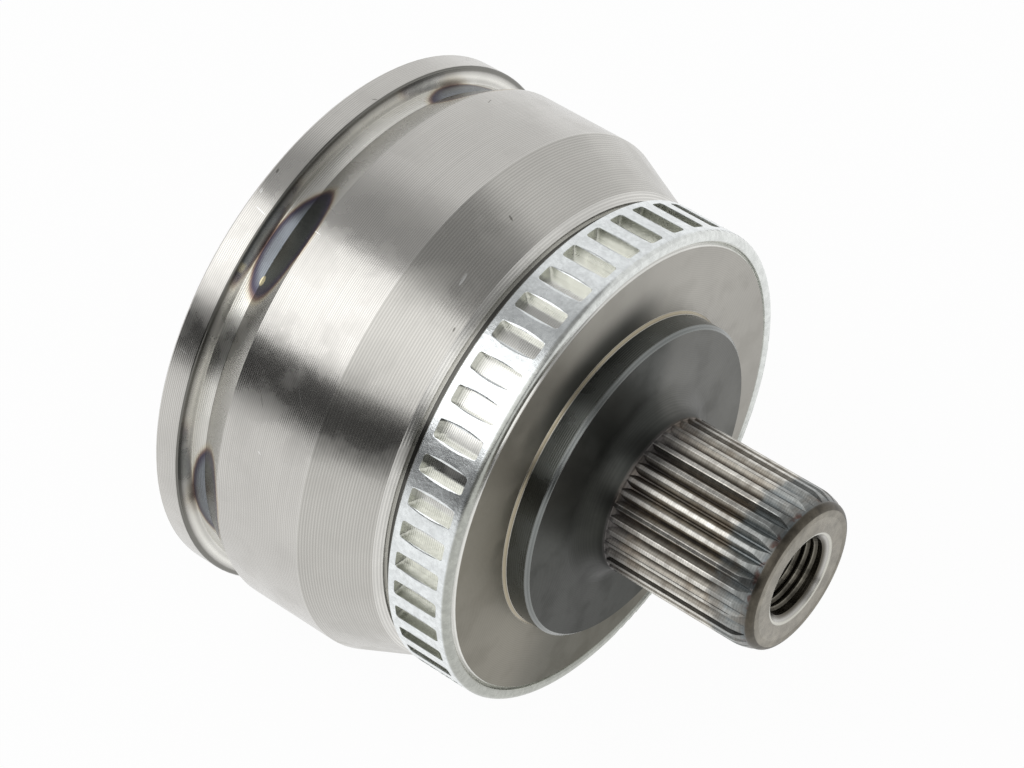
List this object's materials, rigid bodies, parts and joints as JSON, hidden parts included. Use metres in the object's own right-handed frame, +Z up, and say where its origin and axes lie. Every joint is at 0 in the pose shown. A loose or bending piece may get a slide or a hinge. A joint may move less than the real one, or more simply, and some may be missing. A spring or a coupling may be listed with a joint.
{
  "type": "cv joint",
  "caption": "Fixed ball-type constant-velocity joint: steel bell with a splined stub and a slotted tone ring, and a caged ball set and inner race inside.",
  "frame": {"origin": "centre of the joint, where the axes of the stub and the driveshaft cross, in the inner race's splined bore", "axes": "+X along the stub's axis, out of the splined end; the open mouth faces -X; +Y through the middle of ball_1; +Z up when the stub lies level"},
  "size_m": [0.0968, 0.0986, 0.0986],
  "materials": {
    "forged_steel": "turned steel, oiled, heat tint at the neck",
    "zinc_plate": "bright zinc plate",
    "cage_steel": "case-hardened, dark",
    "race_steel": "ground, lightly oiled",
    "spring_steel": "blackened spring steel",
    "ball_steel": "polished bearing steel"
  },
  "bodies": {
    "outer_race": {"outer_race": "forged_steel", "tone_ring": "zinc_plate"},
    "inner_race": {"inner_race": "race_steel", "shaft_circlip": "spring_steel"},
    "ball_cage": {"ball_cage": "cage_steel"},
    "ball_1": {"ball_1": "ball_steel"},
    "ball_2": {"ball_2": "ball_steel"},
    "ball_3": {"ball_3": "ball_steel"},
    "ball_4": {"ball_4": "ball_steel"},
    "ball_5": {"ball_5": "ball_steel"},
    "ball_6": {"ball_6": "ball_steel"}
  },
  "joints": [
    {"name": "inner_tilt", "type": "hinge", "parent": "outer_race", "child": "inner_race", "pos_m": [0, 0, 0], "axis": [0, 0.866, 0.5], "range_deg": [-45, 45]},
    {"name": "cage_tilt", "type": "hinge", "parent": "outer_race", "child": "ball_cage", "pos_m": [0, 0, 0], "axis": [0, 0.866, 0.5], "range_deg": [-23, 23]},
    {"name": "ball_1_travel", "type": "hinge", "parent": "outer_race", "child": "ball_1", "pos_m": [-0.0035, 0, 0], "axis": [0, 0, -1], "range_deg": [-12.2, 12.2]},
    {"name": "ball_2_travel", "type": "hinge", "parent": "outer_race", "child": "ball_2", "pos_m": [-0.0035, 0, 0], "axis": [0, 0.866, -0.5], "range_deg": [-12.2, 12.2]},
    {"name": "ball_3_travel", "type": "hinge", "parent": "outer_race", "child": "ball_3", "pos_m": [-0.0035, 0, 0], "axis": [0, 0.866, 0.5], "range_deg": [-23, 23]},
    {"name": "ball_4_travel", "type": "hinge", "parent": "outer_race", "child": "ball_4", "pos_m": [-0.0035, 0, 0], "axis": [0, 0, 1], "range_deg": [-12.2, 12.2]},
    {"name": "ball_5_travel", "type": "hinge", "parent": "outer_race", "child": "ball_5", "pos_m": [-0.0035, 0, 0], "axis": [0, -0.866, 0.5], "range_deg": [-12.2, 12.2]},
    {"name": "ball_6_travel", "type": "hinge", "parent": "outer_race", "child": "ball_6", "pos_m": [-0.0035, 0, 0], "axis": [0, -0.866, -0.5], "range_deg": [-23, 23]}
  ],
  "couplings": [
    {"joint": "cage_tilt", "follows": "inner_tilt", "ratio": 0.5},
    {"joint": "ball_1_travel", "follows": "inner_tilt", "ratio": -0.26002},
    {"joint": "ball_2_travel", "follows": "inner_tilt", "ratio": 0.26002},
    {"joint": "ball_3_travel", "follows": "inner_tilt", "ratio": 0.5},
    {"joint": "ball_4_travel", "follows": "inner_tilt", "ratio": 0.26002},
    {"joint": "ball_5_travel", "follows": "inner_tilt", "ratio": -0.26002},
    {"joint": "ball_6_travel", "follows": "inner_tilt", "ratio": -0.5}
  ]
}
